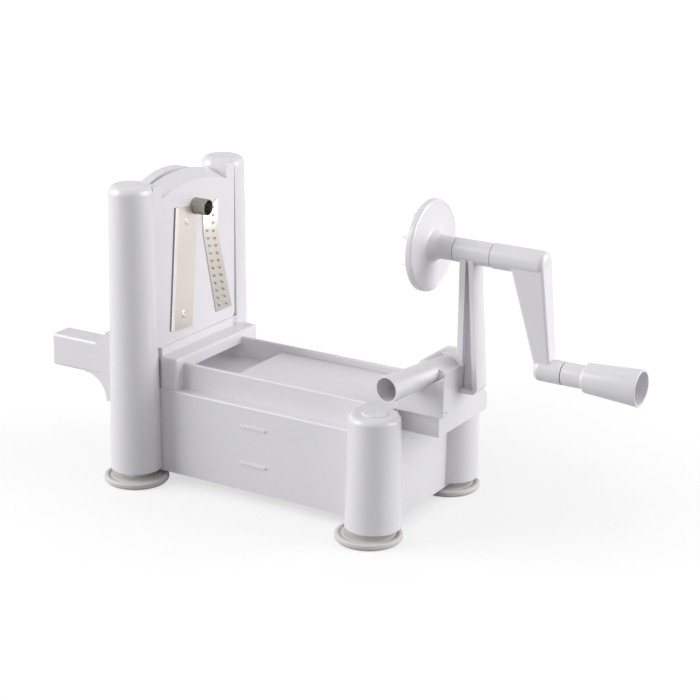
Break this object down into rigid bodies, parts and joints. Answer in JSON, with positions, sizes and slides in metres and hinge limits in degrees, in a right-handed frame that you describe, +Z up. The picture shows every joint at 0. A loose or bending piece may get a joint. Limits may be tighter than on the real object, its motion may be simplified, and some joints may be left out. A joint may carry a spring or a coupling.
{
  "type": "spiral vegetable slicer",
  "caption": "Hand-cranked table-top spiral vegetable slicer: base with columns and suction feet, sliding carriage with spiked disc and crank, lift-out blade cartridge.",
  "frame": {"origin": "On the table under the middle of the whole slicer, from the end of the side bar to the mouth of the grip.", "axes": "+X along the base towards the crank, +Y away from the push handle's side, +Z up."},
  "size_m": [0.4354, 0.1604, 0.2286],
  "materials": {
    "white_plastic": "smooth moulded, slightly glossy",
    "plug_plastic": "smooth moulded",
    "foot_rubber": "satin, slightly milky",
    "blade_steel": "polished stainless",
    "hardware_steel": "plain zinc"
  },
  "bodies": {
    "base": {"base_frame": "white_plastic", "foot_front_blade": "foot_rubber", "foot_rear_blade": "foot_rubber", "foot_front_crank": "foot_rubber", "foot_rear_crank": "foot_rubber", "column_plug_front_crank": "plug_plastic", "column_plug_rear_crank": "plug_plastic"},
    "carriage": {"carriage": "white_plastic", "post": "white_plastic", "post_screw": "hardware_steel"},
    "crank": {"spiked_disc": "white_plastic", "disc_washer": "hardware_steel", "disc_screw": "hardware_steel", "crank_shaft": "hardware_steel", "crank_arm": "white_plastic", "grip_washer": "hardware_steel", "grip_screw": "hardware_steel"},
    "grip": {"crank_grip": "white_plastic"},
    "cartridge": {"cartridge_frame": "white_plastic", "straight_blade": "blade_steel", "corer_tube": "blade_steel", "blade_rivets": "blade_steel", "comb_blade": "blade_steel"},
    "spare_one": {"spare_one_cartridge_frame": "white_plastic", "spare_one_straight_blade": "blade_steel", "spare_one_corer_tube": "blade_steel", "spare_one_blade_rivets": "blade_steel", "spare_one_comb_blade": "blade_steel"},
    "spare_two": {"spare_two_cartridge_frame": "white_plastic", "spare_two_straight_blade": "blade_steel", "spare_two_corer_tube": "blade_steel", "spare_two_blade_rivets": "blade_steel"}
  },
  "joints": [
    {"name": "carriage_slide", "type": "slide", "parent": "base", "child": "carriage", "axis": [1, 0, 0], "range_m": [-0.16, 0]},
    {"name": "crank_spin", "type": "hinge", "parent": "carriage", "child": "crank", "pos_m": [0.09075, 0, 0.197], "axis": [1, 0, 0], "continuous": true},
    {"name": "grip_spin", "type": "hinge", "parent": "crank", "child": "grip", "pos_m": [0.19075, 0, 0.1248], "axis": [1, 0, 0], "continuous": true},
    {"name": "cartridge_lift", "type": "slide", "parent": "base", "child": "cartridge", "axis": [0, 0, 1], "range_m": [0, 0.125]},
    {"name": "spare_one_slide", "type": "slide", "parent": "base", "child": "spare_one", "axis": [0, 1, 0], "range_m": [0, 0.125]},
    {"name": "spare_two_slide", "type": "slide", "parent": "base", "child": "spare_two", "axis": [0, 1, 0], "range_m": [0, 0.125]}
  ]
}
